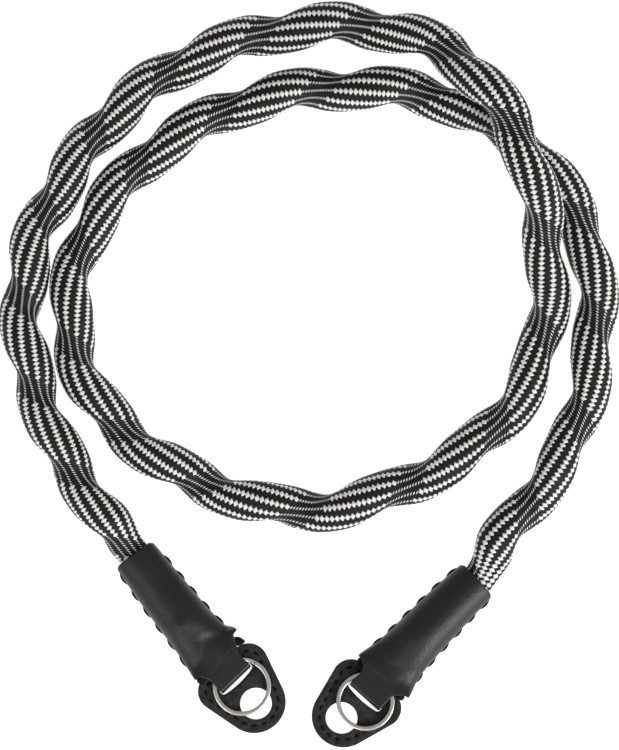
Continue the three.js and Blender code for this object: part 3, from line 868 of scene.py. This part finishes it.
def on_slope(points, end):
    """Points in a pad's own plane, moved to its place: tilted from the tongue, turned and set."""
    x, y, z = points[..., 0], points[..., 1], points[..., 2]
    ahead = x * math.cos(pad_sag) + z * math.sin(pad_sag)
    height = z * math.cos(pad_sag) - x * math.sin(pad_sag) + leather + gap
    run = np.array(end["fold"], float) - np.array(end["bend"], float)
    c, s = run / np.linalg.norm(run)
    fold = np.array(end["fold"], float) - layout_centre
    return np.stack([fold[0] + ahead * c - y * s, fold[1] + ahead * s + y * c, height], -1)


pad_leather, surface = new_material("matt_black_pad_leather")
# vegetable tanned and dyed through: drier and duller than the sleeves, with open pores
pad_place = add_node(pad_leather, "ShaderNodeTexCoord")
pores = add_node(
    pad_leather, "ShaderNodeTexNoise", {"Scale": 800.0, "Detail": 5.0, "Roughness": 0.65},
    {"Vector": pad_place.outputs["Object"]})
pore_bump = add_node(
    pad_leather, "ShaderNodeBump", {"Strength": 0.8, "Distance": 0.001},
    {"Height": pores.outputs["Fac"]})
wear = add_node(
    pad_leather, "ShaderNodeTexNoise", {"Scale": 480.0, "Detail": 5.0},
    {"Vector": pad_place.outputs["Object"]})
pad_shade = add_node(pad_leather, "ShaderNodeValToRGB", {}, {"Fac": wear.outputs["Fac"]})
darker, lighter = pad_shade.color_ramp.elements
darker.position, lighter.position = 0.3, 0.72
darker.color, lighter.color = linear("#111111"), linear("#363534")
pad_shader = add_node(
    pad_leather, "ShaderNodeBsdfPrincipled",
    {"Roughness": 0.72, "IOR": 1.5, "Specular IOR Level": 0.35},
    {"Base Color": pad_shade.outputs["Color"], "Normal": pore_bump.outputs["Normal"]})
pad_leather.node_tree.links.new(pad_shader.outputs["BSDF"], surface)

stitch_line = pad_outline(stitch_inset)
closed_line, closed_at = by_length(np.vstack([stitch_line, stitch_line[:1]]), 0.05)
stitch_count = int(round(closed_at[-1] / pad_stitch_pitch))
pad_points, pad_faces = pad_mesh()
for side, end in sleeve_ends.items():
    pad = make_piece(f"pad_leather_{side}", on_slope(pad_points, end), pad_faces, pad_leather)
    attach(pad, "strap")
    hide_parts(f"pad_{side}")

    # the pad's stitches are thick, near-black lumps: the thread itself, and painted shade for the
    # dark stitch holes around it
    t = np.linspace(-1, 1, 9)[None]
    at = (np.arange(stitch_count)[:, None] + 0.5) * closed_at[-1] / stitch_count
    at = at + pad_stitch_half * t
    flat = np.stack([np.interp(at, closed_at, column) for column in closed_line.T], -1)
    height = pad_thick - 0.6 + 0.22 * np.sqrt(np.clip(1 - t**2, 0, 1)) + 0 * at
    paths = on_slope(np.concatenate([flat, height[..., None]], -1), end)
    points, faces = tube_bodies(paths, 0.15 + 0.42 * np.cos(0.5 * math.pi * t) + 0 * at)
    stitching = make_piece(f"pad_stitching_{side}", points, faces, thread_and_hole_shade)
    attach(stitching, "strap")

# Split rings: two turns of flat spring steel wire, polished and nickel plated, lying one on the
# other with a short crossing between them. They turn freely in the tongues.
crossing_half, end_clearance = math.radians(20), math.radians(3)
wire_rows, wire_sides = 230, 20
crown_out, crown_up = 0.65, 0.85  # 1 is an oval wire, and less than 1 a squarer one

nickel, surface = new_material("nickel_plated_spring_steel")
# bright nickel, tumbled: clear reflections, softened by fine rubbed marks
nickel_place = add_node(nickel, "ShaderNodeTexCoord")
rubbing = add_node(
    nickel, "ShaderNodeTexNoise", {"Scale": 2200.0, "Detail": 3.0},
    {"Vector": nickel_place.outputs["Object"]})
rub_rough = add_node(
    nickel, "ShaderNodeMapRange", {"To Min": 0.26, "To Max": 0.36},
    {"Value": rubbing.outputs["Fac"]})
nickel_shader = add_node(
    nickel, "ShaderNodeBsdfPrincipled", {"Base Color": linear("#d8d2cc"), "Metallic": 1.0},
    {"Roughness": rub_rough.outputs["Result"]})
nickel.node_tree.links.new(nickel_shader.outputs["BSDF"], surface)


def split_ring(end):
    """The wire's section carried round two turns, the second one 0.8 mm higher past the crossing.

    The section is half the wire's width times cos(angle) to the power 0.65, and half its thickness
    times sin(angle) to the power 0.85, each with its own sign. Both cut ends are blunted."""
    start, stop = crossing_half + end_clearance, 4 * math.pi - crossing_half - end_clearance
    turn = np.linspace(start, stop, wire_rows)[:, None]
    around = np.arange(wire_sides) * 2 * math.pi / wire_sides
    out = 0.5 * wire_wide * np.sign(np.cos(around)) * np.abs(np.cos(around)) ** crown_out
    up = 0.5 * wire_thick * np.sign(np.sin(around)) * np.abs(np.sin(around)) ** crown_up
    from_end = np.minimum(turn - start, stop - turn) * ring_radius
    blunt = 1 - rounding(from_end, 0.25) / 0.25 * 0.5
    crossed = smooth_step(2 * math.pi - crossing_half, 2 * math.pi + crossing_half, turn)
    height = turn_rise * (crossed - 0.5)
    radius = ring_radius + out[None] * blunt
    crossing = turn + math.radians(end["crossing"])
    x = end["ring"][0] + radius * np.cos(crossing)
    y = end["ring"][1] + radius * np.sin(crossing)
    z = pad_thick + gap + 0.5 * (turn_rise + wire_thick) + height + up[None] * blunt
    return on_slope(np.stack([x, y, z], -1), end)


for side, end in sleeve_ends.items():
    wire = split_ring(end)
    rows, sides = wire.shape[:2]
    ring = np.arange(sides)
    following = (ring + 1) % sides
    points = np.vstack([wire.reshape(-1, 3), wire[0].mean(0), wire[-1].mean(0)])
    first, last, start = rows * sides, rows * sides + 1, (rows - 1) * sides
    faces = grid_faces(rows, sides, closed=True)[:, ::-1].tolist()
    faces += [(first, a, b) for a, b in zip(ring, following)]
    faces += [(last, start + b, start + a) for a, b in zip(ring, following)]
    split = make_piece(f"split_ring_{side}", points, faces, nickel)
    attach(split, f"{side}_ring")
    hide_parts(f"ring_{side}")
